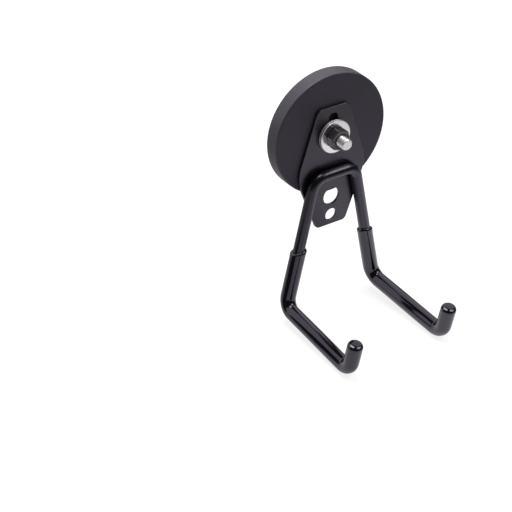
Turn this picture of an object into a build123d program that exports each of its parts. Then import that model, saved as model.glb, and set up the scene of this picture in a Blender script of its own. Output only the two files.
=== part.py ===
from build123d import *
from math import asin, cos, degrees, radians, tan
import os

# Magnetic double hook: a rubber-covered magnet disc that carries a bent-wire hook on a central stud.
# The disc's wall face lies in the plane Y = 0 with its centre at the origin. The stud points to the
# front, along -Y, and the hook hangs below it, along -Z. Lengths are millimetres, angles degrees.

# Magnet disc: layers from the wall to the front
disc_diameter = 66.0
back_skin = 0.8
magnet_thickness = 3.0
yoke_thickness = 3.0
front_skin = 1.7
side_skin = 2.0
rim_round = 0.9
back_edge_round = 0.3

# Ring of magnets on the yoke plate
magnet_diameter = 10.0
magnet_gap = 1.8
magnet_edge_margin = 3.0

# Stud, two washers and nut
stud_diameter = 6.0
stud_clearance = 0.4
stud_beyond_nut = 5.0
stud_chamfer = 0.4
washer_diameter = 18.0
washer_thickness = 1.2
washer_round = 0.3
nut_across_flats = 10.0
nut_thickness = 5.0
nut_face_inset = 0.25
nut_cone_slope = 30.0
nut_turn = 44.0
nut_bore_chamfer = 0.4

# Stamped plate, heights measured from the stud's axis
plate_thickness = 1.5
plate_top = 16.1
plate_top_half_width = 9.2
plate_shoulder_drop = 19.9
plate_shoulder_half_width = 21.2
plate_bottom_drop = 52.0
plate_bottom_half_width = 9.0
plate_top_corner = 3.5
plate_shoulder_corner = 20.0
plate_bottom_corner = 3.0
plate_edge_round = 0.3
top_hole_diameter = 5.7
top_hole_height = 9.8
large_hole_diameter = 9.7
large_hole_drop = 35.3
small_hole_diameter = 6.8
small_hole_drop = 46.2

# Bent wire
rod_diameter = 6.0
weld_sink = 0.5
bar_drop = 20.5
bar_half_span = 12.3
leg_drop = 72.2
leg_splay = 12.0
leg_lean = 1.5
arm_reach = 58.2
arm_splay = 1.5
arm_slope = 4.1
tip_rise = 18.6
tip_lean = 13.6
bar_bend_radius = 7.0
elbow_bend_radius = 7.0
tip_bend_radius = 7.0

# Dipped sleeves
grip_wall = 1.1
grip_start_drop = 61.0
grip_end_wall = 1.2
grip_end_round = 2.0
grip_start_round = 0.3

# Depths from the wall face
magnets_at = back_skin
yoke_at = magnets_at + magnet_thickness
yoke_front = yoke_at + yoke_thickness
disc_front = yoke_front + front_skin
plate_front = disc_front + plate_thickness
washer_front = plate_front + 2 * washer_thickness
nut_front = washer_front + nut_thickness
stud_front = nut_front + stud_beyond_nut

# Ring of magnets: as many as fit at the stated gap
yoke_radius = disc_diameter / 2 - side_skin
magnet_ring_radius = yoke_radius - magnet_edge_margin - magnet_diameter / 2
magnet_pitch = 2 * degrees(asin((magnet_diameter + magnet_gap) / (2 * magnet_ring_radius)))
magnet_count = int(360 / magnet_pitch)

stud_radius = stud_diameter / 2
clearance_radius = stud_radius + stud_clearance / 2
nut_flat_radius = nut_across_flats / 2
nut_corner_radius = nut_flat_radius / cos(radians(30))
nut_face_radius = nut_flat_radius - nut_face_inset
nut_cone_height = (nut_corner_radius - nut_face_radius) * tan(radians(nut_cone_slope))

# Corner points of the right half of the wire's centre line
rod_radius = rod_diameter / 2
grip_radius = rod_radius + grip_wall
rod_depth = plate_front + rod_radius - weld_sink
leg_direction = Vector(tan(radians(leg_splay)), tan(radians(leg_lean)), -1)
arm_direction = Vector(tan(radians(arm_splay)), -1, -tan(radians(arm_slope)))
tip_direction = Vector(0, -tan(radians(tip_lean)), 1)
bar_corner = Vector(bar_half_span, -rod_depth, -bar_drop)
elbow_corner = bar_corner + leg_direction * leg_drop
front_corner = elbow_corner + arm_direction * arm_reach
grip_end = front_corner + tip_direction * tip_rise
rod_end = grip_end - tip_direction.normalized() * grip_end_wall
grip_start = bar_corner + leg_direction * (grip_start_drop - bar_drop)


def mirrored(point):
    """The same corner on the left half."""
    return Vector(-point.X, point.Y, point.Z)


os.makedirs("parts", exist_ok=True)

# Rubber jacket, moulded round the yoke plate and the magnets
with BuildPart() as rubber_jacket:
    with BuildSketch(Plane.XZ):
        Circle(disc_diameter / 2)
    extrude(amount=disc_front)
    fillet(rubber_jacket.edges().sort_by(Axis.Y)[0], rim_round)
    fillet(rubber_jacket.edges().sort_by(Axis.Y)[-1], back_edge_round)
    with BuildSketch(Plane.XZ.offset(magnets_at)):
        with PolarLocations(magnet_ring_radius, magnet_count):
            Circle(magnet_diameter / 2)
    extrude(amount=magnet_thickness, mode=Mode.SUBTRACT)
    with BuildSketch(Plane.XZ.offset(yoke_at)):
        Circle(yoke_radius)
    extrude(amount=yoke_thickness, mode=Mode.SUBTRACT)
    with BuildSketch(Plane.XZ.offset(yoke_front)):
        Circle(stud_radius)
    extrude(amount=front_skin, mode=Mode.SUBTRACT)

rubber_jacket.part.label = "rubber_jacket"
export_step(rubber_jacket.part, "parts/rubber_jacket.step")

with BuildPart() as magnets:
    with BuildSketch(Plane.XZ.offset(magnets_at)):
        with PolarLocations(magnet_ring_radius, magnet_count):
            Circle(magnet_diameter / 2)
    extrude(amount=magnet_thickness)

magnets.part.label = "magnets"
export_step(magnets.part, "parts/magnets.step")

with BuildPart() as yoke_plate:
    with BuildSketch(Plane.XZ.offset(yoke_at)):
        Circle(yoke_radius)
        Circle(stud_radius, mode=Mode.SUBTRACT)
    extrude(amount=yoke_thickness)

yoke_plate.part.label = "yoke_plate"
export_step(yoke_plate.part, "parts/yoke_plate.step")

# Stud, fixed in the yoke plate
with BuildPart() as threaded_stud:
    with BuildSketch(Plane.XZ.offset(yoke_at)):
        Circle(stud_radius)
    extrude(amount=stud_front - yoke_at)
    chamfer(threaded_stud.edges().sort_by(Axis.Y)[0], stud_chamfer)

threaded_stud.part.label = "threaded_stud"
export_step(threaded_stud.part, "parts/threaded_stud.step")

# Stamped plate: a long hexagon with rounded corners
with BuildPart() as hook_plate:
    with BuildSketch(Plane.XZ.offset(disc_front)):
        with BuildLine():
            FilletPolyline(
                (-plate_top_half_width, plate_top),
                (plate_top_half_width, plate_top),
                (plate_shoulder_half_width, -plate_shoulder_drop),
                (plate_bottom_half_width, -plate_bottom_drop),
                (-plate_bottom_half_width, -plate_bottom_drop),
                (-plate_shoulder_half_width, -plate_shoulder_drop),
                radius=[
                    plate_top_corner,
                    plate_top_corner,
                    plate_shoulder_corner,
                    plate_bottom_corner,
                    plate_bottom_corner,
                    plate_shoulder_corner,
                ],
                close=True,
            )
        make_face()
        Circle(clearance_radius, mode=Mode.SUBTRACT)
        with Locations((0, top_hole_height)):
            Circle(top_hole_diameter / 2, mode=Mode.SUBTRACT)
        with Locations((0, -large_hole_drop)):
            Circle(large_hole_diameter / 2, mode=Mode.SUBTRACT)
        with Locations((0, -small_hole_drop)):
            Circle(small_hole_diameter / 2, mode=Mode.SUBTRACT)
    extrude(amount=plate_thickness)
    fillet(hook_plate.faces().sort_by(Axis.Y)[0].outer_wire().edges(), plate_edge_round)

hook_plate.part.label = "hook_plate"
export_step(hook_plate.part, "parts/hook_plate.step")

# Two equal flat washers, one on the other
with BuildPart() as back_washer:
    with BuildSketch(Plane.XZ.offset(plate_front)):
        Circle(washer_diameter / 2)
        Circle(clearance_radius, mode=Mode.SUBTRACT)
    extrude(amount=washer_thickness)
    fillet(back_washer.edges().filter_by(GeomType.CIRCLE).group_by(SortBy.RADIUS)[-1], washer_round)

back_washer.part.label = "back_washer"
export_step(back_washer.part, "parts/back_washer.step")

with BuildPart() as flat_washer:
    add(back_washer.part.moved(Location((0, -washer_thickness, 0))))

flat_washer.part.label = "flat_washer"
export_step(flat_washer.part, "parts/flat_washer.step")

# Hexagon nut: corners turned off by a cone at each face
with BuildPart() as hex_nut:
    with BuildSketch(Plane.XZ.offset(washer_front)):
        RegularPolygon(nut_flat_radius, 6, major_radius=False, rotation=nut_turn)
    extrude(amount=nut_thickness)
    with BuildSketch(Plane.YZ):
        with BuildLine():
            Polyline(
                (-washer_front, 0),
                (-washer_front, nut_face_radius),
                (-washer_front - nut_cone_height, nut_corner_radius),
                (-nut_front + nut_cone_height, nut_corner_radius),
                (-nut_front, nut_face_radius),
                (-nut_front, 0),
                close=True,
            )
        make_face()
    revolve(axis=Axis.Y, mode=Mode.INTERSECT)
    with BuildSketch(Plane.XZ.offset(washer_front)):
        Circle(stud_radius)
    extrude(amount=nut_thickness, mode=Mode.SUBTRACT)
    chamfer(hex_nut.faces().sort_by(Axis.Y)[0].inner_wires()[0].edges(), nut_bore_chamfer)

hex_nut.part.label = "hex_nut"
export_step(hex_nut.part, "parts/hex_nut.step")

# Bent wire, flattened where it is welded to the plate
with BuildPart() as hook_rod:
    with BuildLine() as rod_path:
        FilletPolyline(
            mirrored(rod_end),
            mirrored(front_corner),
            mirrored(elbow_corner),
            mirrored(bar_corner),
            bar_corner,
            elbow_corner,
            front_corner,
            rod_end,
            radius=[
                tip_bend_radius,
                elbow_bend_radius,
                bar_bend_radius,
                bar_bend_radius,
                elbow_bend_radius,
                tip_bend_radius,
            ],
        )
    with BuildSketch(Plane(origin=rod_path.line @ 0, z_dir=rod_path.line % 0)):
        Circle(rod_radius)
    sweep(path=rod_path.line)
    add(hook_plate.part, mode=Mode.SUBTRACT)

hook_rod.part.label = "hook_rod"
export_step(hook_rod.part, "parts/hook_rod.step")

# Dipped sleeve: closed at the tip and open where it starts on the leg
with BuildPart() as grip_right:
    with BuildLine() as grip_path:
        FilletPolyline(
            grip_start,
            elbow_corner,
            front_corner,
            grip_end,
            radius=[elbow_bend_radius, tip_bend_radius],
        )
    with BuildSketch(Plane(origin=grip_path.line @ 0, z_dir=grip_path.line % 0)):
        Circle(grip_radius)
    sweep(path=grip_path.line)
    rims = grip_right.edges().filter_by(GeomType.CIRCLE)
    fillet(rims.sort_by_distance(grip_end)[0], grip_end_round)
    rims = grip_right.edges().filter_by(GeomType.CIRCLE)
    fillet(rims.sort_by_distance(grip_start)[0], grip_start_round)
    add(hook_rod.part, mode=Mode.SUBTRACT)

grip_right.part.label = "grip_right"
export_step(grip_right.part, "parts/grip_right.step")

with BuildPart() as grip_left:
    mirror(grip_right.part, about=Plane.YZ)

grip_left.part.label = "grip_left"
export_step(grip_left.part, "parts/grip_left.step")
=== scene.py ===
# %% [markdown]
# # Dressing a magnetic hook
# The hook is a rubber-covered magnet with a stamped plate bolted to its stud. A bent wire is
# welded to the plate, and its two arms wear dipped sleeves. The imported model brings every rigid
# piece in its place, in metres. This lesson keeps those pieces where they are, adds the forms
# that a solid leaves plain, and gives each surface its finish.

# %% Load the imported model
from math import radians

import bpy
import numpy as np
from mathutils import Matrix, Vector


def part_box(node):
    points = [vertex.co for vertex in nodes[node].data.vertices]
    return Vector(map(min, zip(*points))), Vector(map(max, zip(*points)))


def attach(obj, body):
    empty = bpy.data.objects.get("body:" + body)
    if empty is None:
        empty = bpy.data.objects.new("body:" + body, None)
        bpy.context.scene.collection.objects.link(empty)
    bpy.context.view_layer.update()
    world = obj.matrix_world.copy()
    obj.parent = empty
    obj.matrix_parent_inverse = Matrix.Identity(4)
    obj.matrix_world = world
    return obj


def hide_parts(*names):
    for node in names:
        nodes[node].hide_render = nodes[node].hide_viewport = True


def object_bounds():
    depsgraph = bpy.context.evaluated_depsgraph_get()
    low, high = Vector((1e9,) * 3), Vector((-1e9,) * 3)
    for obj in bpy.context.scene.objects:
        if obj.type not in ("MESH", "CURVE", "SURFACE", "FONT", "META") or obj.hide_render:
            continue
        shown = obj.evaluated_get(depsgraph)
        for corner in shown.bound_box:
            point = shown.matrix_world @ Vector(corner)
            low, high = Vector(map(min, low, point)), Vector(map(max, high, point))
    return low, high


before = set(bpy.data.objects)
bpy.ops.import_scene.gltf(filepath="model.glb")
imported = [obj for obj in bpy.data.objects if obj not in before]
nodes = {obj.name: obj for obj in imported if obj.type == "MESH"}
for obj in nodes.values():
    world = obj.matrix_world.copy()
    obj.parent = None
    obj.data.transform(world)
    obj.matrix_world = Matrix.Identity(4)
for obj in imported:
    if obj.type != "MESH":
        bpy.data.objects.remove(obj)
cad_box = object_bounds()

print("pieces loaded:", ", ".join(sorted(nodes)))

# %% [markdown]
# ## Shader maths as plain expressions
# A finish is a small formula: a mask times a depth, plus a grain. Its nodes could be added and
# linked one by one, but that is long to write and hard to read. So one class stands for a socket
# and turns + - * / into Math nodes. Everything that isn't arithmetic comes from its one method
# `node`, which sets a node up first and then fills its sockets.

# %% A socket that can be added and multiplied
class Wire:
    """One output socket in a node tree. Arithmetic on wires and numbers adds Math nodes."""

    def __init__(self, tree, socket=None):
        self.tree = tree
        self.socket = socket

    def node(self, kind, settings=None, sockets=None, out=0):
        """Adds a node of this kind, sets it up, fills its sockets and returns one output."""
        made = self.tree.nodes.new("ShaderNode" + kind)
        for name, value in (settings or {}).items():
            setattr(made, name, value)
        for name, value in (sockets or {}).items():
            target = made.inputs[name]
            if isinstance(value, Wire):
                self.tree.links.new(value.socket, target)
            else:
                target.default_value = value
        return Wire(self.tree, made.outputs[out] if len(made.outputs) else None)

    def math(self, operation, *values):
        return self.node("Math", {"operation": operation}, dict(enumerate(values)))

    def __add__(self, other):
        return self.math("ADD", self, other)

    def __sub__(self, other):
        return self.math("SUBTRACT", self, other)

    def __rsub__(self, other):
        return self.math("SUBTRACT", other, self)

    def __mul__(self, other):
        return self.math("MULTIPLY", self, other)

    def __truediv__(self, other):
        return self.math("DIVIDE", self, other)

    def __rtruediv__(self, other):
        return self.math("DIVIDE", other, self)

    def __pow__(self, other):
        return self.math("POWER", self, other)

    def __rpow__(self, other):
        return self.math("POWER", other, self)

    __radd__ = __add__
    __rmul__ = __mul__


print("wires know:", "+ - * / **")

# %% [markdown]
# ## Where a point lies
# Each finish starts from the place on the piece, in millimetres from the disc's centre. A UV map
# could give a place too, but these pieces sit at the origin, so their own coordinates already
# have the real scale and need no unwrapping.

# %% Places in millimetres
MM = 0.001


def box_mm(node):
    """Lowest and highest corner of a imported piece, in millimetres."""
    return [[value / MM for value in corner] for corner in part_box(node)]


def place(start):
    """Object coordinates in millimetres."""
    metres = start.node("TexCoord", out="Object")
    return start.node("VectorMath", {"operation": "SCALE"}, {0: metres, "Scale": 1 / MM})


def parts(point, axes="XYZ"):
    """The coordinates of a point, one wire for each axis."""
    return [point.node("SeparateXYZ", None, {0: point}, out=axis) for axis in axes]


def from_axis(x, z):
    """Distance from the stud's axis: the root of x^2 + z^2."""
    return (x * x + z * z) ** 0.5


print("patterns count in units of", MM, "m")

# %% [markdown]
# ## Tools that every finish shares
# Grain, soft steps and mixes come back in every material on the hook. A group of nodes could hold
# each of them. Small functions do the same and keep every material's own tree flat.

# %% Helpers for finishes
def new_finish(name):
    """An empty material and a wire to start from."""
    material = bpy.data.materials.new(name)
    material.use_nodes = True
    material.node_tree.nodes.clear()
    return material, Wire(material.node_tree)


def grain(point, size, detail=2.0, roughness=0.5):
    """Noise from 0 to 1 whose patches are about `size` millimetres wide."""
    sockets = {"Vector": point, "Scale": 1 / size, "Detail": detail, "Roughness": roughness}
    return point.node("TexNoise", None, sockets, out="Fac")


def between(mask, low, high):
    """low where the mask is 0 and high where it is 1, as colours. Either may be a mix itself."""
    low, high = (c if isinstance(c, Wire) else (*c, 1) for c in (low, high))
    return mask.node("Mix", {"data_type": "RGBA"}, {"Factor": mask, 6: low, 7: high}, out=2)


def smooth(value, low, high):
    """0 below low, 1 above high, and a soft step between them."""
    sockets = {"Value": value, "From Min": low, "From Max": high}
    return value.node("MapRange", {"interpolation_type": "SMOOTHSTEP"}, sockets)


def relief(height, depth):
    """A bump whose height runs from 0 to 1 over `depth` millimetres."""
    return height.node("Bump", None, {"Height": height, "Distance": depth * MM}, out="Normal")


def finish_with(start, **sockets):
    """The surface shader: what it gets by name, set or linked, goes to its output."""
    named = {name.replace("_", " "): value for name, value in sockets.items()}
    start.node("OutputMaterial", None, {"Surface": start.node("BsdfPrincipled", None, named)})


def dress(material, *names):
    """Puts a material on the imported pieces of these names."""
    for name in names:
        mesh = nodes[name].data
        mesh.materials.clear()
        mesh.materials.append(material)
    print(material.name, "on", ", ".join(names))


print("helpers: grain, between, smooth, relief")

# %% [markdown]
# ## Moulded rubber
# The magnet's jacket is matt black rubber from a sand-blasted mould: a fine even grain and faint
# cloudy patches where it was handled. The mould's side wall was polished, so the rim has a thin
# shine over the grain. Behind the plate's upper hole the rubber is painted near black and made
# rougher: painted shade, which stands for the shadow down the hole. The grain could be modelled,
# but at a third of a millimetre noise in the bump does as well and costs no faces. Black plastics
# and coats mirror with a faint violet cast here, which is one constant on the tint socket.

# %% Rubber finish
VIOLET_GLOSS = (0.86, 0.775, 1.0, 1.0)
RUBBER_DARK, RUBBER_LIGHT = (0.025, 0.0225, 0.0305), (0.038, 0.034, 0.047)
HOLE_SHADE_BLACK = (0.004, 0.0036, 0.0046)
RUBBER_GRAIN, RUBBER_CLOUD = 0.35, 14.0
RIM_STARTS, RIM_FULL = 1.1, 0.1
UPPER_HOLE, HOLE_INSIDE, HOLE_OUTSIDE = 9.8, 2.6, 3.6
SHADE_STARTS, SHADE_ENDS = 0.5, 2.5
jacket_low, jacket_high = box_mm("rubber_jacket")
disc_radius, disc_front = jacket_high[0], jacket_low[1]

material, start = new_finish("moulded_rubber")
point = place(start)
x, y, z = parts(point)
fine = grain(point, RUBBER_GRAIN, 3.0)
cloud = grain(point, RUBBER_CLOUD, 4.0, 0.6)
tone = smooth(cloud * 0.8 + fine * 0.2, 0.3, 0.7)
rim = smooth(from_axis(x, z), disc_radius - RIM_STARTS, disc_radius - RIM_FULL)
# Painted shade: the rubber seen through the plate's upper hole is painted near black.
off_hole = smooth(from_axis(x, z - UPPER_HOLE), HOLE_INSIDE, HOLE_OUTSIDE)
behind_front = smooth(y, disc_front + SHADE_STARTS, disc_front + SHADE_ENDS)
outside_hole_shade = 1 - (1 - off_hole) * (1 - behind_front)
finish_with(
    start,
    Base_Color=between(outside_hole_shade, HOLE_SHADE_BLACK, between(tone, RUBBER_DARK, RUBBER_LIGHT)),
    Roughness=0.5 + 0.14 * cloud + 0.34 * (1 - outside_hole_shade),
    Specular_IOR_Level=0.66,
    Specular_Tint=VIOLET_GLOSS,
    Coat_Weight=0.68 * rim,
    Coat_Roughness=0.42,
    Normal=relief(fine, 0.05),
)
dress(material, "rubber_jacket")

# %% [markdown]
# ## Satin black coat
# Plate and wire were coated black after welding. The coat levels out into a faint orange peel and
# is a touch smoother on some patches than on others. One flat dark grey would be quicker, but the
# real coat is nearly black by itself: what is seen on it is the white floor, mirrored, so here
# the gloss gives the grey. On the drawn wire the coat lies smoother than on the rolled sheet.

# %% Coat finish
COAT_DARK, COAT_LIGHT = (0.0028, 0.0025, 0.0033), (0.0042, 0.0038, 0.005)
# Painted lighter coat for the plate's edge: worn thin, and a painted highlight.
WORN_COAT_AND_SHEEN = (0.05, 0.046, 0.056)
PEEL_SIZE, COAT_CLOUD = 0.6, 9.0


def coat_finish(name, rough, wear_and_sheen_at=None):
    """Satin black with an orange peel. The optional mask, given a point, is 1 where the coat
    is worn thin and where an edge highlight is painted.
    """
    material, start = new_finish(name)
    point = place(start)
    peel = grain(point, PEEL_SIZE)
    cloud = grain(point, COAT_CLOUD, 3.0, 0.55)
    colour = between(cloud, COAT_DARK, COAT_LIGHT)
    if wear_and_sheen_at:
        colour = between(wear_and_sheen_at(point), colour, WORN_COAT_AND_SHEEN)
    finish_with(
        start,
        Base_Color=colour,
        Roughness=rough + 0.08 * cloud,
        Specular_IOR_Level=0.8,
        Specular_Tint=VIOLET_GLOSS,
        Normal=relief(peel, 0.004),
    )
    return material


dress(coat_finish("hook_rod_coat", rough=0.22), "hook_rod")

# %% [markdown]
# ## The plate's edge: worn coat and painted highlight
# Along the plate's front edge the coat is painted lighter: partly the coat rubbed thin, partly a
# painted highlight on the rounded edge. Paint on a UV map could show that. Here the distance in
# from the plate's outline makes a narrow band instead, because a formula is sharp at any scale,
# and noise breaks the band up as handling does.

# %% Plate finish
PLATE_CORNERS = np.array([(0, 16.1), (9.2, 16.1), (21.2, -19.9), (9.0, -52.0), (0, -52.0)])
CORNER_BLENDS = (4.0, 7.0, 3.2)
BAND_FULL, BAND_ENDS = 0.2, 0.55
SIDE_STARTS, SIDE_ENDS = 0.15, 0.4
WEAR_AND_SHEEN_PATCH = 1.5
plate_front = box_mm("hook_plate")[0][1]


def in_from_outline(x, z):
    """Distance in from the plate's edge: the least of (p - corner) . n over the sides of its right
    half, with |x| for x and n the way in. A smooth minimum rounds each corner."""
    runs = np.diff(PLATE_CORNERS, axis=0)
    inward = np.stack([runs[:, 1], -runs[:, 0]], 1) / np.linalg.norm(runs, axis=1, keepdims=True)
    aside = x.math("ABSOLUTE", x)
    nearest, *others = [
        (aside - corner[0]) * way[0] + (z - corner[1]) * way[1]
        for corner, way in zip(PLATE_CORNERS.tolist(), inward.tolist())
    ]
    for other, blend in zip(others, CORNER_BLENDS):
        nearest = x.math("SMOOTH_MIN", nearest, other, blend)
    return nearest


def edge_wear_and_sheen(point):
    """1 on a band of wear and painted highlight along the front edge, broken by noise, else 0."""
    x, y, z = parts(point)
    band = 1 - smooth(in_from_outline(x, z), BAND_FULL, BAND_ENDS)
    band *= 1 - smooth(y, plate_front + SIDE_STARTS, plate_front + SIDE_ENDS)
    return band * smooth(grain(point, WEAR_AND_SHEEN_PATCH, 3.0), 0.3, 0.55)


dress(coat_finish("hook_plate_coat", rough=0.26, wear_and_sheen_at=edge_wear_and_sheen), "hook_plate")

# %% [markdown]
# ## From arrays to a piece
# The thread, the washers and the sleeves are all rings of points, one after the other. Blender's
# cylinders and modifiers could make something near them. With arrays the formula stays in sight,
# and the seams are closed because the point numbers wrap round.

# %% Rings into meshes
def quads_between(rows, count, around):
    """Quads from each of `rows` rings to the next one. Numbers wrap round a ring of `around` points
    and, where rows = count, from the last ring to the first."""
    k, j = np.meshgrid(np.arange(rows), np.arange(around), indexing="ij")
    corners = [(k, j), (k, j + 1), (k + 1, j + 1), (k + 1, j)]
    numbers = [row % count * around + column % around for row, column in corners]
    return np.stack(numbers, -1).reshape(-1, 4).tolist()


def closed_tube(rings, first, last):
    """Rings of the shape (rings, points, 3) with a fan to an end point at each end."""
    count, around = rings.shape[:2]
    points = np.concatenate([rings.reshape(-1, 3), [first, last]])
    here = np.arange(around)
    after, base = (here + 1) % around, (count - 1) * around
    start_fan = np.stack([np.full(around, count * around), after, here], 1)
    end_fan = np.stack([np.full(around, count * around + 1), base + here, base + after], 1)
    return points, quads_between(count - 1, count, around) + start_fan.tolist() + end_fan.tolist()


def closed_ring(rings):
    """Rings of the shape (rings, points, 3), the last one joined to the first."""
    count, around = rings.shape[:2]
    return rings.reshape(-1, 3), quads_between(count, count, around)


def new_piece(name, points, faces, slot, *replaced):
    """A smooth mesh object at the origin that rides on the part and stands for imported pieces."""
    mesh = bpy.data.meshes.new(name)
    mesh.from_pydata((points * MM).tolist(), [], faces)
    mesh.polygons.foreach_set("use_smooth", np.ones(len(mesh.polygons), bool))
    mesh.update()
    made = bpy.data.objects.new(name, mesh)
    bpy.context.scene.collection.objects.link(made)
    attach(made, "root")
    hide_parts(*replaced)
    print(name, len(mesh.vertices), "points", len(mesh.polygons), "faces")
    return made


print("pieces are placed in units of", MM, "m")

# %% [markdown]
# ## The stud's thread
# The stud is a coarse M6 thread, which a plain cylinder can't show: its flanks face the front and
# shine, where a smooth pin would only mirror the black plate. A Screw modifier could wind one,
# but then the chamfered end needs a cut. As one formula, the radius depends on where a point lies
# between two turns of the helix, and a cone takes the end off.

# %% Threaded stud
THREAD_PITCH, THREAD_DEPTH = 1.0, 0.42
STUD_RADIUS, STUD_CHAMFER = 3.0, 0.45
STUD_RINGS, STUD_AROUND = 300, 72
END_FACE_RINGS = (0.95, 0.5)


def threaded_rod(back, front):
    """r(s, a) = R - D (1 - cos 2 pi p) / 2, where p = (back - s) / pitch - a / 2 pi counts the
    turns of the helix, and no more than the cone R - chamfer + (s - front). The end is flat."""
    along = np.linspace(back, front, STUD_RINGS)
    angle = np.linspace(0, 2 * np.pi, STUD_AROUND, endpoint=False)
    s, a = np.meshgrid(along, angle, indexing="ij")
    turns = (back - s) / THREAD_PITCH - a / (2 * np.pi)
    groove = THREAD_DEPTH * (0.5 - 0.5 * np.cos(2 * np.pi * turns))
    cone = STUD_RADIUS - STUD_CHAMFER + (s - front)
    r = np.minimum(STUD_RADIUS - groove, cone)
    rings = np.stack([r * np.cos(a), s, r * np.sin(a)], -1)
    end_face = [rings[-1:] * [share, 1, share] for share in END_FACE_RINGS]
    return closed_tube(np.concatenate([rings, *end_face]), (0, back, 0), (0, front, 0))


stud_low, stud_high = box_mm("threaded_stud")
stud_mesh = threaded_rod(stud_high[1], stud_low[1])
stud = new_piece("stud_thread", *stud_mesh, "zinc", "threaded_stud")

# %% [markdown]
# ## Two washers
# A washer is punched out of sheet, and the punch rolls its outer edge over. That round edge is
# what catches the light as a thin line. A cylinder with a Bevel modifier would come near. Here
# each washer is a turned profile with quarter circles at the rim, so the edge has its exact
# round, and its grid closes on itself both ways.

# %% Washers
WASHER_BORE, BORE_EDGE, ROLLED_EDGE = 3.2, 0.15, 0.4
RIM_STEPS, WASHER_AROUND = 10, 120


def washer(node):
    """Profile (r, y) turned round the stud: (r cos a, y, r sin a). From the back of the bore it
    goes out over the back face, over the rim by two quarter circles, and in over the front."""
    low, high = box_mm(node)
    rim, back, front = high[0] - ROLLED_EDGE, high[1], low[1]
    bore = WASHER_BORE + BORE_EDGE * np.arange(3)
    face = np.append(bore, rim - BORE_EDGE)
    drop = np.array([BORE_EDGE, 0, 0, 0])
    t = np.linspace(0, np.pi / 2, RIM_STEPS)
    over = rim + ROLLED_EDGE * np.sin(t)
    fall = ROLLED_EDGE * (1 - np.cos(t))
    r = np.concatenate([face, over, over[::-1], face[::-1]])
    y = np.concatenate([back - drop, back - fall, front + fall[::-1], front + drop[::-1]])
    a = np.linspace(0, 2 * np.pi, WASHER_AROUND, endpoint=False)
    circle = np.stack([np.cos(a), 0 * a, np.sin(a)], -1)
    return closed_ring(r[:, None, None] * circle + y[:, None, None] * [0, 1, 0])


washer_front = new_piece("washer_front", *washer("flat_washer"), "zinc", "flat_washer")
washer_behind = new_piece("washer_behind", *washer("back_washer"), "zinc", "back_washer")

# %% [markdown]
# ## Zinc
# The front washer and the stud are bright zinc, and the washer behind is a darker grey. The faces
# of the washers were turned flat after punching, so they have fine rings. Anisotropic gloss could
# stand for them. Noise along the radius only is plainer, and it shows the rings themselves. The
# rolled edge was tumbled dull, so there the zinc is less of a mirror and shows the light from
# above as a thin line. The thread keeps some of the milky film of its plating bath.

# %% Zinc finishes
RINGS_PER_MM, ZINC_CLOUD = 5.0, 2.0
EDGE_STARTS, EDGE_FULL, WALL_STARTS, WALL_FULL = 0.5, 0.35, 0.1, 0.02
washer_radius = box_mm("flat_washer")[1][0]


def zinc_finish(name, dark, light, rough, metal):
    """Plated steel with turned rings: noise of the radius and the depth, not of the angle."""
    material, start = new_finish(name)
    point = place(start)
    x, y, z = parts(point)
    radius = from_axis(x, z)
    rings_at = start.node("CombineXYZ", None, {0: radius * RINGS_PER_MM, 1: y * RINGS_PER_MM})
    rings = grain(rings_at, 1.0, 3.0, 0.7)
    cloud = grain(point, ZINC_CLOUD, 3.0, 0.6)
    rim = smooth(radius, washer_radius - EDGE_STARTS, washer_radius - EDGE_FULL)
    wall = smooth(radius, washer_radius - WALL_STARTS, washer_radius - WALL_FULL)
    dull_edge = rim * (1 - wall)
    finish_with(
        start,
        Base_Color=between(cloud * 0.5 + rings * 0.5, dark, light),
        Metallic=metal - 0.75 * dull_edge,
        Roughness=rough + 0.16 * rings + 0.08 * rim + 0.1 * dull_edge,
        Normal=relief(rings, 0.003),
    )
    return material


for piece, name, dark, light, rough, metal in (
    (washer_front, "bright_zinc", (0.76, 0.725, 0.77), (0.96, 0.925, 0.97), 0.12, 1.0),
    (washer_behind, "grey_zinc", (0.58, 0.56, 0.59), (0.74, 0.72, 0.75), 0.16, 1.0),
    (stud, "thread_zinc", (0.88, 0.85, 0.885), (0.98, 0.95, 0.985), 0.22, 0.75),
):
    piece.data.materials.append(zinc_finish(name, dark, light, rough, metal))
    print(name, "on", piece.name)

# %% [markdown]
# ## Black oxide
# The nut is black steel with a brown cast. Its six corners and the edge of its front face are
# painted lighter grey: partly rubbed by a spanner, partly a painted highlight on those edges.
# Such edges could be found by a pointiness or bevel node. The nut is so plain a shape that its
# radius and depth say where its edges are.

# %% Oxide finish
OXIDE_DARK, OXIDE_LIGHT = (0.012, 0.0106, 0.0122), (0.054, 0.0475, 0.0545)
WORN_STEEL_AND_GLINT = (0.24, 0.222, 0.24)
BROWN_GLOSS = (1.0, 0.92, 1.0, 1.0)
CORNER_STARTS, CORNER_FULL = 5.52, 5.74
FACE_STARTS, FACE_FULL = 4.35, 4.6
FACE_DEPTH, FACE_ENDS = 0.05, 0.35
OXIDE_GRAIN, OXIDE_CLOUD = 0.5, 1.6
nut_front = box_mm("hex_nut")[0][1]

material, start = new_finish("black_oxide")
point = place(start)
x, y, z = parts(point)
fine = grain(point, OXIDE_GRAIN, 3.0)
cloud = smooth(grain(point, OXIDE_CLOUD, 3.0, 0.6), 0.35, 0.65)
radius = from_axis(x, z)
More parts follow.
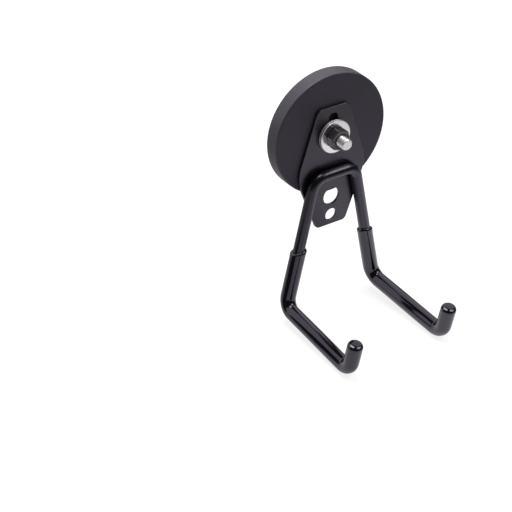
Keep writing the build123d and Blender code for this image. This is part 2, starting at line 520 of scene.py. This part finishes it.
# Lighter corners and front ring: partly wear, partly a painted highlight on the edges.
corner = smooth(radius, CORNER_STARTS, CORNER_FULL)
at_front = 1 - smooth(y, nut_front + FACE_DEPTH, nut_front + FACE_ENDS)
front_ring = smooth(radius, FACE_STARTS, FACE_FULL) * at_front
worn_and_glint = start.math("MAXIMUM", corner, front_ring) * smooth(fine, 0.3, 0.55)
finish_with(
    start,
    Base_Color=between(worn_and_glint, between(cloud, OXIDE_DARK, OXIDE_LIGHT), WORN_STEEL_AND_GLINT),
    Roughness=0.2 + 0.2 * fine,
    Specular_Tint=BROWN_GLOSS,
    Normal=relief(fine, 0.03),
)
dress(material, "hex_nut")

# %% [markdown]
# ## The way of the wire
# Each sleeve was made by dipping the bent wire, so it follows the wire down the leg, round the
# elbow, along the arm and up the tip. A bevelled curve would sweep a tube along that way, but
# with the same round all along. So the way itself comes first, as points and headings, and the
# sleeve is carried along it afterwards.

# %% Path of the sleeve
BEND = 7.0
LEG_SPLAY, LEG_LEAN = 12.0, 1.5
ARM_SPLAY, ARM_DROP = 1.5, 4.1
TIP_LEAN = 13.6
SLEEVE_DROP, LEG_DROP, ARM_REACH, TIP_RISE = 40.5, 72.2, 58.2, 18.6
LEAD, ROUTE_STEP = 3.0, 0.25


def slope(degrees):
    """Rise over run of a line at this angle."""
    return np.tan(radians(degrees))


def unit(vectors):
    """Vectors of the same heading and of length 1."""
    return vectors / np.linalg.norm(vectors, axis=-1, keepdims=True)


def bent_route(corners, bend, step):
    """Points and headings along straight runs joined by arcs. An arc that starts at a, with u the
    run that comes in and m the way it turns to, is a + bend (sin t u + (1 - cos t) m)."""
    runs = unit(np.diff(corners, axis=0))
    turns = np.append(np.arccos((runs[:-1] * runs[1:]).sum(1)), 0)
    cuts = np.append(0, bend * np.tan(turns / 2))
    points, headings = [], []
    for k, run in enumerate(runs):
        first, last = corners[k] + cuts[k] * run, corners[k + 1] - cuts[k + 1] * run
        straight = np.arange(0, np.linalg.norm(last - first), step)[:, None]
        points.append(first + straight * run)
        headings.append(np.ones_like(straight) * run)
        if turns[k]:
            way = unit(runs[k + 1] - np.cos(turns[k]) * run)
            t = np.arange(0, turns[k], step / bend)[:, None]
            points.append(last + bend * (np.sin(t) * run + (1 - np.cos(t)) * way))
            headings.append(np.cos(t) * run + np.sin(t) * way)
    return np.concatenate(points + [corners[-1:]]), np.concatenate(headings + [runs[-1:]])


bar_corner = np.array([12.3, -12.5, -20.5])
leg_run = np.array([slope(LEG_SPLAY), slope(LEG_LEAN), -1.0])
arm_run = np.array([slope(ARM_SPLAY), -1.0, -slope(ARM_DROP)])
tip_run = np.array([0.0, -slope(TIP_LEAN), 1.0])
above = bar_corner + SLEEVE_DROP * leg_run - LEAD * unit(leg_run)
elbow = bar_corner + LEG_DROP * leg_run
front = elbow + ARM_REACH * arm_run
sleeve_end = front + TIP_RISE * tip_run
route, headings = bent_route(np.array([above, elbow, front, sleeve_end]), BEND, ROUTE_STEP)
far = np.append(0, np.cumsum(np.linalg.norm(np.diff(route, axis=0), axis=1))) - LEAD
print("sleeve length", round(far[-1], 1), "mm")

# %% [markdown]
# ## The sleeve's profile
# A dipped sleeve has a soft lip at its upper edge and a dome at its end. A swept solid has
# neither. The profile starts on the axis at the wire's end, runs back along the wire, turns over
# the lip and goes forward on the outside to the domed end. Solidify could give the wall its
# thickness, but one closed profile gives both faces of the wall and both ends at once.

# %% Sleeve profile
WIRE_RADIUS, SLEEVE_RADIUS = 3.0, 4.1
LIP_ROUND = SLEEVE_RADIUS - WIRE_RADIUS
END_WALL, DOME, DOME_POWER = 1.2, 2.2, 0.7
INNER_RINGS, OUTER_RINGS, ARC_STEPS = 90, 220, 20


def sleeve_profile():
    """Distance along the wire, radius, and a share that is 0 inside and 1 outside, as columns.
    Lip: a quarter circle. End: s = D sin(t)^q and r = R cos(t)^q, a flat dome for q under 1."""
    length = far[-1]
    t = np.linspace(0, np.pi / 2, ARC_STEPS)[1:-1]
    inner = np.linspace(length - END_WALL, 0, INNER_RINGS)
    outer = np.linspace(LIP_ROUND, length - DOME, OUTER_RINGS)
    end = length - DOME + DOME * np.sin(t) ** DOME_POWER
    profile = [
        (inner, np.full(INNER_RINGS, WIRE_RADIUS), np.zeros(INNER_RINGS)),
        (LIP_ROUND * (1 - np.cos(t)), WIRE_RADIUS + LIP_ROUND * np.sin(t), np.sin(t) ** 2),
        (outer, np.full(OUTER_RINGS, SLEEVE_RADIUS), np.ones(OUTER_RINGS)),
        (end, SLEEVE_RADIUS * np.cos(t) ** DOME_POWER, np.cos(t)),
    ]
    return [np.concatenate(part)[:, None] for part in zip(*profile)]


print("sleeve rings", len(sleeve_profile()[0]))

# %% [markdown]
# ## The sleeves
# The vinyl ran down while it was wet, so the wall is never quite even, and the lip is a little
# tilted, as the dip's level was. Sculpting or a Displace modifier could roughen a plain tube. A
# few sine waves round the wire that change slowly along it look as smooth as the real vinyl does.
# Two calls give the left sleeve and the right one, each with its own tilt.

# %% Sleeve pieces
SLEEVE_AROUND = 80
WAVES = ((3, 9, 1.0), (5, -13, 1.0), (8, 7, 0.6))
SECOND_PHASE = 2.1
WAVE_HEIGHT, THINNER, BEAD_HEIGHT, BEAD_PLACE = 0.02, 0.06, 0.1, 1.3
LIP_REACH = 6.0


def round_the_wire(s, a, r, mirror):
    """route(s) + r (cos(a) across + sin(a) up), where across is +X made square to the heading
    and up is square to both. mirror turns the right-hand route into the left-hand one."""
    where, ahead = (
        np.stack([np.interp(s, far, column) for column in values.T], -1) * mirror
        for values in (route, headings)
    )
    ahead = unit(ahead)
    across = unit(np.array([1.0, 0, 0]) - ahead[..., :1] * ahead)
    up = np.cross(ahead, across)
    return where + r[..., None] * (np.cos(a)[..., None] * across + np.sin(a)[..., None] * up)


def sleeve(side, lift, to_right, to_front):
    """The profile's radius plus waves share sin(count a + s / length + phase) and a bead behind
    the lip. The lip stands at lift + to_right cos(a) + to_front sin(a), which fades along s."""
    along, radius, skin = sleeve_profile()
    angle = np.linspace(0, 2 * np.pi, SLEEVE_AROUND, endpoint=False)
    s, a = np.broadcast_arrays(along, angle)
    wave = sum(
        share * np.sin(count * a + s / length + phase)
        for (count, length, share), phase in zip(WAVES, (side, SECOND_PHASE, 0))
    )
    bead = BEAD_HEIGHT * np.exp(-(((s - BEAD_PLACE) / BEAD_PLACE) ** 2))
    r = radius + skin * (WAVE_HEIGHT * wave - THINNER + bead)
    level = lift + to_right * np.cos(a) + to_front * np.sin(a)
    s = s - level * np.exp(-((s / LIP_REACH) ** 2))
    mirror = np.array([side, 1, 1])
    wire_end = sleeve_end - END_WALL * unit(tip_run)
    return closed_tube(round_the_wire(s, a, r, mirror), wire_end * mirror, sleeve_end * mirror)


left_wall = sleeve(-1, lift=0.9, to_right=1.4, to_front=0.5)
right_wall = sleeve(1, lift=0.5, to_right=-1.05, to_front=1.1)
sleeves = [
    new_piece("sleeve_left", *left_wall, "dipped_vinyl", "grip_left"),
    new_piece("sleeve_right", *right_wall, "dipped_vinyl", "grip_right"),
]

# %% [markdown]
# ## Dipped vinyl
# The vinyl is black, smooth and glossy. A mirror-smooth black would do for a short look, but the
# real highlights waver. A slow wave in the normal adds what the mesh is too coarse for, and a
# fine grain in the roughness keeps the gloss from being perfect.

# %% Vinyl finish
VINYL_DARK, VINYL_LIGHT = (0.003, 0.0027, 0.0036), (0.0045, 0.004, 0.0052)
WAVER_SIZE, VINYL_GRAIN = 7.0, 0.8
material, start = new_finish("dipped_vinyl")
point = place(start)
waver = grain(point, WAVER_SIZE, 1.0)
fine = grain(point, VINYL_GRAIN)
finish_with(
    start,
    Base_Color=between(waver, VINYL_DARK, VINYL_LIGHT),
    Roughness=0.07 + 0.05 * fine,
    Specular_IOR_Level=0.8,
    Specular_Tint=VIOLET_GLOSS,
    Normal=relief(waver, 0.04),
)
for piece in sleeves:
    piece.data.materials.append(material)
    print(material.name, "on", piece.name)

# %% [markdown]
# ## What the rubber hides
# The ring of magnets is nickel plated and the yoke plate is plain steel. Neither shows, so plain
# grey would pass, but a part that is taken apart should look right too. A faint cloud in colour
# and roughness is enough.

# %% Hidden metals
METAL_CLOUD = 2.0
for name, dark, light, rough in (
    ("magnets", (0.55, 0.53, 0.5), (0.66, 0.64, 0.6), 0.2),
    ("yoke_plate", (0.36, 0.36, 0.37), (0.48, 0.48, 0.49), 0.35),
):
    material, start = new_finish(name + "_metal")
    cloud = grain(place(start), METAL_CLOUD, 3.0)
    colour = between(cloud, dark, light)
    finish_with(start, Base_Color=colour, Metallic=1.0, Roughness=rough + 0.1 * cloud)
    dress(material, name)

# %% [markdown]
# ## Tools for the set
# Floor and cards aren't part of the hook. A surface could look the same to everything that meets
# it. On this set the kind of ray decides what it shows, because a floor that is pure white to the
# camera must still keep a shadow and look natural in the gloss.
# The set is laid out in metres, Blender's own unit, with its angles in degrees.

# %% Helpers for the set
BLACK, WHITE = (0.0, 0.0, 0.0), (1.0, 1.0, 1.0)
ONE_QUAD = [(0, 1, 2, 3)]


def stage_mesh(name, points, faces, material):
    """A mesh that belongs to the set and not to the hook."""
    mesh = bpy.data.meshes.new(name)
    mesh.from_pydata([tuple(map(float, p)) for p in points], [], faces)
    mesh.materials.append(material)
    made = bpy.data.objects.new(name, mesh)
    bpy.context.scene.collection.objects.link(made)
    print(name, len(faces), "faces")
    return made


def ray(start, *kinds):
    """1 on rays of these kinds and 0 on all others."""
    found = [start.node("LightPath", out="Is " + kind + " Ray") for kind in kinds]
    return start.math("MINIMUM", sum(found[1:], found[0]), 1.0)


print("set colours:", BLACK, WHITE)

# %% [markdown]
# ## The floor
# A white floor lies under the lowest point. A plain white plane would do for the shadow, but
# gloss black is read by what it mirrors, and in a real studio the floor is brightest near the
# object. So its glow in mirrors fades with the distance, and a smaller bright patch lies at the
# left. To the camera it is plain white: near the hook part of that white is a matt surface, which
# keeps the shadow, and far off it is all glow, so that the floor meets the dome without a line.

# %% White floor
FLOOR_HALF, FLOOR_GREY = 6.0, (0.35, 0.35, 0.35, 1)
GLOW_CENTRE, GLOW_SPREAD = (0.06, -0.06), 0.016
LEFT_CENTRE, LEFT_SPREAD = (-0.13, -0.125), 0.004
SHADOW_SPREAD, GLOW_SEEN = 1.0, 0.82
GLOW_FAR, GLOW_NEAR, GLOW_LEFT = 0.08, 0.78, 0.5
EULER = 2.718


def fade(spot, centre, spread):
    """e^(-d^2 / spread), with d the distance on the floor from the centre."""
    east, north = parts(spot, "XY")
    apart = (east - centre[0]) ** 2.0 + (north - centre[1]) ** 2.0
    return EULER ** (apart / -spread)


floor_height = cad_box[0][2]
material, start = new_finish("white_floor")
spot = start.node("TexCoord", out="Object")
far_off = 1 - fade(spot, GLOW_CENTRE, SHADOW_SPREAD)
seen = (GLOW_SEEN + (1 - GLOW_SEEN) * far_off) * ray(start, "Camera", "Transmission")
near, left = fade(spot, GLOW_CENTRE, GLOW_SPREAD), fade(spot, LEFT_CENTRE, LEFT_SPREAD)
mirrored = (GLOW_FAR + GLOW_NEAR * near + GLOW_LEFT * left) * ray(start, "Glossy")
lit = start.node("BsdfDiffuse", None, {"Color": FLOOR_GREY})
glow = start.node("Emission", None, {"Color": between(seen + mirrored, BLACK, WHITE)})
start.node("OutputMaterial", None, {"Surface": start.node("AddShader", None, {0: lit, 1: glow})})
corners = FLOOR_HALF * np.array([(-1, -1), (1, -1), (1, 1), (-1, 1)])
stage_mesh("floor", np.column_stack([corners, np.full(4, floor_height)]), ONE_QUAD, material)

# %% [markdown]
# ## The dome
# A little soft light comes from all sides, as in a white room. A ring of lamps could give it. The
# world does so without a lamp: where it is seen or mirrored it is white, and as a light it is
# much weaker, so that the two boxes shape the hook.

# %% Soft dome
SOFT_LIGHT = 0.25
world = bpy.data.worlds.new("soft_dome")
bpy.context.scene.world = world
world.use_nodes = True
world.node_tree.nodes.clear()
start = Wire(world.node_tree)
seen = ray(start, "Camera", "Glossy", "Transmission")
background = start.node("Background", None, {"Color": between(seen, (SOFT_LIGHT,) * 3, WHITE)})
start.node("OutputWorld", None, {"Surface": background})
print("dome", SOFT_LIGHT)

# %% [markdown]
# ## Two soft boxes
# The small bright spots on the tips and elbows and the streak on the crossbar are two lamps, one
# high at the right and one nearly overhead. Point lamps would make hard dots and hard shadows.
# Square area lamps are what a studio has, and their radiance says directly how bright they look
# in the gloss.

# %% Soft boxes
HOOK_MIDDLE = np.array([0, -0.03, -0.04])
BOX_DISTANCE, BOX_SIZE = 1.2, 0.62
BOX_COLOUR = (0.97, 1.0, 0.92)


def heading(azimuth, elevation):
    """Unit vectors: azimuth from +Y towards +X, elevation up from the floor, in degrees."""
    a, e = np.radians(azimuth), np.radians(elevation)
    return np.stack([np.sin(a) * np.cos(e), np.cos(a) * np.cos(e), np.sin(e)], -1)


def soft_box(name, azimuth, elevation, radiance):
    """A square lamp that faces the hook. An area lamp of P watts on A square metres has a
    radiance of P / (pi A)."""
    lamp = bpy.data.lights.new(name, "AREA")
    lamp.size = BOX_SIZE
    lamp.color = BOX_COLOUR
    lamp.energy = radiance * np.pi * BOX_SIZE**2
    made = bpy.data.objects.new(name, lamp)
    away = heading(azimuth, elevation)
    made.location = HOOK_MIDDLE + BOX_DISTANCE * away
    made.rotation_euler = Vector(away).to_track_quat("Z", "Y").to_euler()
    bpy.context.scene.collection.objects.link(made)
    print(name, "radiance", radiance)


soft_box("box_right", azimuth=124, elevation=53, radiance=4.0)
soft_box("box_overhead", azimuth=-20, elevation=80, radiance=7.0)

# %% [markdown]
# ## The dark room
# Gloss black shows the room: a white floor, a white back wall, and dark everywhere else. Walls
# could be modelled one by one. A sphere of dark card stands for all of them. It is open where the
# back wall is, up to a fair height, and at the left the opening reaches down to the floor.
# Mirrors see the card, and neither the camera nor the soft light does.

# %% Dark room
ROOM_RADIUS, ROOM_FOOT = 1.9, -4
CARD_COLOUR = (0.05, 0.047, 0.053, 1)
WINDOW_LEFT, WINDOW_RIGHT = -75, 85
WINDOW_LOW, WINDOW_HIGH = 14, 62
OPEN_TO_FLOOR = -20
AZ_STEP, EL_STEP = 5, 2
card_finish, start = new_finish("dark_card")
card_glow = start.node("Emission", None, {"Color": CARD_COLOUR})
start.node("OutputMaterial", None, {"Surface": card_glow})


def dark_card(name, points, faces):
    """A card that is left to mirrors alone."""
    card = stage_mesh(name, points, faces, card_finish)
    card.visible_camera = card.visible_diffuse = False
    card.visible_shadow = card.visible_transmission = False


turns, heights = np.arange(-180, 181, AZ_STEP), np.arange(ROOM_FOOT, 91, EL_STEP)
az, el = np.meshgrid(turns, heights, indexing="ij")
i, j = np.indices((len(turns) - 1, len(heights) - 1)).reshape(2, -1)
middle_az, middle_el = az[i, j] + AZ_STEP / 2, el[i, j] + EL_STEP / 2
window = (middle_az > WINDOW_LEFT) & (middle_az < WINDOW_RIGHT)
window &= (middle_el > WINDOW_LOW) | (middle_az < OPEN_TO_FLOOR)
window &= middle_el < WINDOW_HIGH
corner, row = i * len(heights) + j, len(heights)
patches = np.stack([corner, corner + 1, corner + row + 1, corner + row], 1)[~window]
dark_card("dark_room", ROOM_RADIUS * heading(az, el).reshape(-1, 3), patches.tolist())

# %% [markdown]
# ## Two small cards
# The left leg has a dark band and the left arm a dark line along it. They could be painted on,
# but they are reflections, and paint doesn't move with the view. So a card lies on the floor at
# the left for the leg, and another stands beside the arm.

# %% Small cards
CARD_LIFT, ARM_CARD_X = 0.0003, -0.07
lying = [(-0.055, -0.023), (-0.068, -0.009), (-0.16, 0.03), (-0.13, -0.075)]
standing = [(0.014, 0.0005), (-0.034, 0.0005), (-0.034, 0.05), (0.014, 0.022)]
leg_card = np.column_stack([lying, np.full(4, floor_height + CARD_LIFT)])
arm_card = np.column_stack([np.full(4, ARM_CARD_X), np.array(standing) + [0, floor_height]])
dark_card("side_card", leg_card, ONE_QUAD)
dark_card("arm_card", arm_card, ONE_QUAD)

# %% [markdown]
# ## Camera
# A long lens from the upper left. It could be set by eye. Here its place was worked out from the
# disc's ellipse, the stud and the arms, so that the hook lies where it does in the picture.

# %% Camera
LENS, SENSOR, SIGHT = 122.98, 36.0, 20.0
CAMERA_PLACE = (-0.451781, -0.625407, 0.424412)
CAMERA_DOWN, CAMERA_TURN = 33.0546, -33.4045
camera_data = bpy.data.cameras.new("camera")
camera_data.lens = LENS
camera_data.sensor_width = SENSOR
camera_data.clip_end = SIGHT
camera = bpy.data.objects.new("camera", camera_data)
camera.location = CAMERA_PLACE
camera.rotation_euler = (radians(90 - CAMERA_DOWN), 0.0, radians(CAMERA_TURN))
bpy.context.scene.collection.objects.link(camera)
bpy.context.scene.camera = camera
bpy.context.scene.view_settings.view_transform = "Standard"
print("lens", LENS)
